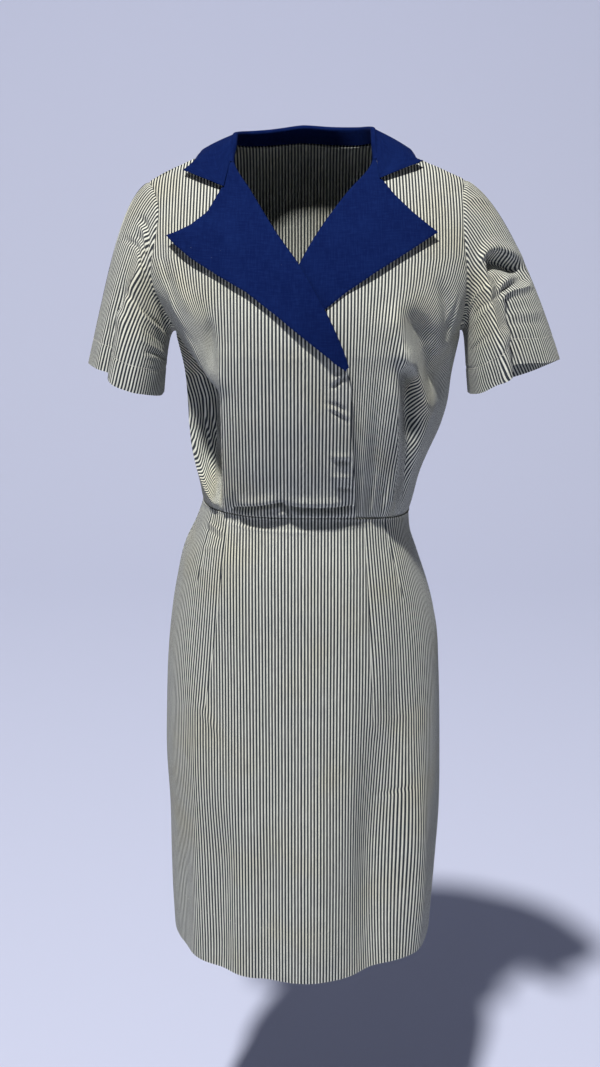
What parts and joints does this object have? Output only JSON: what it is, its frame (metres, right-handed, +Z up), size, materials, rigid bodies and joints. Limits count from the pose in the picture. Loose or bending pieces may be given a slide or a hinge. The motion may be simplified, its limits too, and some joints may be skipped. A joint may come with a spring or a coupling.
{
  "type": "work dress",
  "caption": "Short-sleeved work dress with a surplice front, notched collar, pointed lapels and a straight skirt, shown as worn.",
  "frame": {"origin": "between the shoulders, at the height where the collar's ends meet the lapels and over the middle of the neck opening: the place that a dress form or a hanger holds", "axes": "+Z up, from the hem towards the collar; front towards -Y; the wearer's left towards +X"},
  "size_m": [0.5571, 0.2905, 1.0134],
  "materials": {
    "striped_cotton": "plain weave with fine upright stripes",
    "navy_cotton": "plain weave"
  },
  "bodies": {
    "root": {"front_over": "striped_cotton", "front_under": "striped_cotton", "bodice_back": "striped_cotton", "skirt_front": "striped_cotton", "skirt_back": "striped_cotton", "sleeve_right": "striped_cotton", "sleeve_left": "striped_cotton", "lapel_over_cloth": "striped_cotton", "lapel_over": "navy_cotton", "lapel_under_cloth": "striped_cotton", "lapel_under": "navy_cotton", "collar": "navy_cotton", "collar_under": "striped_cotton"}
  },
  "joints": []
}
